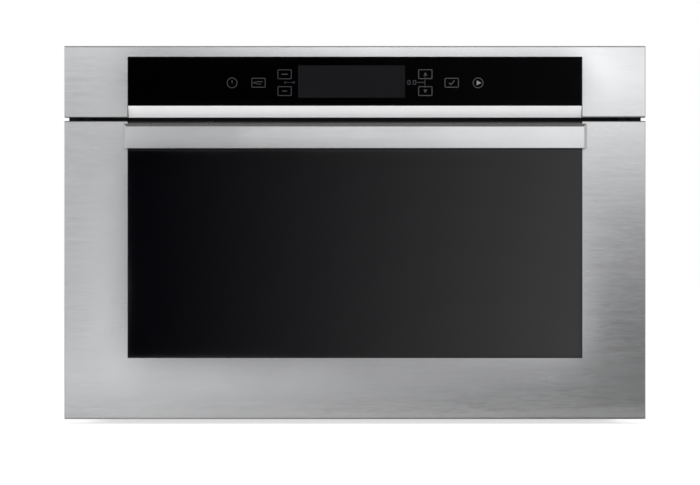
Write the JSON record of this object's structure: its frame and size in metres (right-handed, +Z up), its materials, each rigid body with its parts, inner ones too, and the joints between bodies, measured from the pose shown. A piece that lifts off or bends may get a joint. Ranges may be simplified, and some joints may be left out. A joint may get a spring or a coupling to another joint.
{
  "type": "built-in microwave",
  "caption": "Built-in microwave oven with a brushed steel drop-down door, dark glass window, bar handle, touch panel and turntable.",
  "frame": {"origin": "middle of the width and depth, on the plane the feet stand on", "axes": "+X right seen from the front, -Y out of the door, +Z up"},
  "size_m": [0.595, 0.468, 0.387],
  "materials": {
    "brushed_steel": "horizontal brushed grain",
    "grip_steel": "fine brushed, brighter",
    "black_glass": "black back-printed glass, polished",
    "clear_glass": "clear polished",
    "galvanised_steel": "galvanised sheet, faint spangle",
    "frame_steel": "dark grey enamel",
    "enamel_grey": "light grey enamel, satin",
    "dark_steel": "black painted",
    "black_plastic": "moulded, matt",
    "grey_plastic": "moulded, pale",
    "rubber": "matt",
    "circuit_board": "solder resist",
    "zinc_steel": "zinc plated",
    "spring_steel": "drawn wire",
    "aluminium": "mill finish",
    "plated_steel": "bright plated",
    "core_iron": "laminated iron, varnished",
    "copper_winding": "enamelled copper wire",
    "mica": "pressed mica sheet"
  },
  "bodies": {
    "casing": {"front_frame": "frame_steel", "control_fascia": "brushed_steel", "control_glass": "black_glass", "grip_strip": "grip_steel", "panel_carrier": "black_plastic", "display_module": "black_plastic", "control_board": "circuit_board", "top_cover": "galvanised_steel", "base_plate": "galvanised_steel", "feet": "rubber", "back_panel": "galvanised_steel", "cable_gland": "black_plastic", "cavity_wrap": "enamel_grey", "cavity_floor": "enamel_grey", "cavity_back": "enamel_grey", "component_shelf": "galvanised_steel", "waveguide": "aluminium", "waveguide_cover": "mica", "magnetron_yoke": "plated_steel", "magnetron_core": "aluminium", "magnetron_filter_box": "plated_steel", "transformer_core": "core_iron", "transformer_windings": "copper_winding", "hv_capacitor": "aluminium", "capacitor_clamp": "zinc_steel", "hv_diode": "grey_plastic", "fan_housing": "black_plastic", "fan_motor": "core_iron", "air_duct": "black_plastic", "lamp_holder": "black_plastic", "lamp_bulb": "clear_glass", "turntable_motor": "plated_steel", "noise_filter_board": "circuit_board", "interlock_brackets": "black_plastic", "interlock_switches": "black_plastic", "thermal_cutout": "grey_plastic", "hinge_arms": "zinc_steel", "case_screws": "zinc_steel"},
    "door": {"door_frame": "brushed_steel", "door_glass": "black_glass", "inner_frame": "frame_steel", "choke_frame": "dark_steel", "door_screen": "dark_steel", "inner_window": "clear_glass", "choke_cover": "black_plastic", "door_handle": "brushed_steel", "handle_posts": "zinc_steel", "handle_screws": "zinc_steel", "hinge_clevises": "zinc_steel", "hinge_pins": "zinc_steel", "hinge_springs": "spring_steel", "latch_spring": "spring_steel"},
    "latch": {"latch_hooks": "zinc_steel"},
    "fan": {"fan_impeller": "grey_plastic"},
    "coupler": {"drive_coupler": "grey_plastic"},
    "turntable": {"glass_turntable": "clear_glass"},
    "ring": {"roller_ring": "grey_plastic"},
    "roller_1": {"roller_1": "grey_plastic"},
    "roller_2": {"roller_2": "grey_plastic"},
    "roller_3": {"roller_3": "grey_plastic"}
  },
  "joints": [
    {"name": "door_hinge", "type": "hinge", "parent": "casing", "child": "door", "pos_m": [0, -0.198, 0.015], "axis": [1, 0, 0], "range_deg": [0, 90], "stiffness_Nm_per_rad": 1.5, "springref_deg": -34.38, "deforming": ["hinge_springs"]},
    {"name": "latch_pivot", "type": "hinge", "parent": "door", "child": "latch", "pos_m": [0, -0.195, 0.2992], "axis": [1, 0, 0], "range_deg": [0, 6], "stiffness_Nm_per_rad": 0.2, "springref_deg": -34.38, "deforming": ["latch_spring"]},
    {"name": "fan_spin", "type": "hinge", "parent": "casing", "child": "fan", "pos_m": [0.15, 0.2103, 0.3102], "axis": [0, 1, 0], "continuous": true},
    {"name": "turntable_spin", "type": "hinge", "parent": "casing", "child": "coupler", "pos_m": [0, 0.0182, 0.0583], "axis": [0, 0, 1], "continuous": true},
    {"name": "turntable_lift", "type": "slide", "parent": "coupler", "child": "turntable", "axis": [0, 0, 1], "range_m": [0, 0.022]},
    {"name": "roller_ring_spin", "type": "hinge", "parent": "casing", "child": "ring", "pos_m": [0, 0.0182, 0.0583], "axis": [0, 0, 1], "continuous": true},
    {"name": "roller_1_spin", "type": "hinge", "parent": "ring", "child": "roller_1", "pos_m": [0, 0.1172, 0.0583], "axis": [0, 1, 0], "continuous": true},
    {"name": "roller_2_spin", "type": "hinge", "parent": "ring", "child": "roller_2", "pos_m": [-0.08574, -0.0313, 0.0583], "axis": [-0.866, -0.5, 0], "continuous": true},
    {"name": "roller_3_spin", "type": "hinge", "parent": "ring", "child": "roller_3", "pos_m": [0.08574, -0.0313, 0.0583], "axis": [0.866, -0.5, 0], "continuous": true}
  ],
  "couplings": [
    {"joint": "roller_ring_spin", "follows": "turntable_spin", "ratio": 0.5},
    {"joint": "roller_1_spin", "follows": "turntable_spin", "ratio": -6.1875},
    {"joint": "roller_2_spin", "follows": "turntable_spin", "ratio": -6.1875},
    {"joint": "roller_3_spin", "follows": "turntable_spin", "ratio": -6.1875}
  ]
}
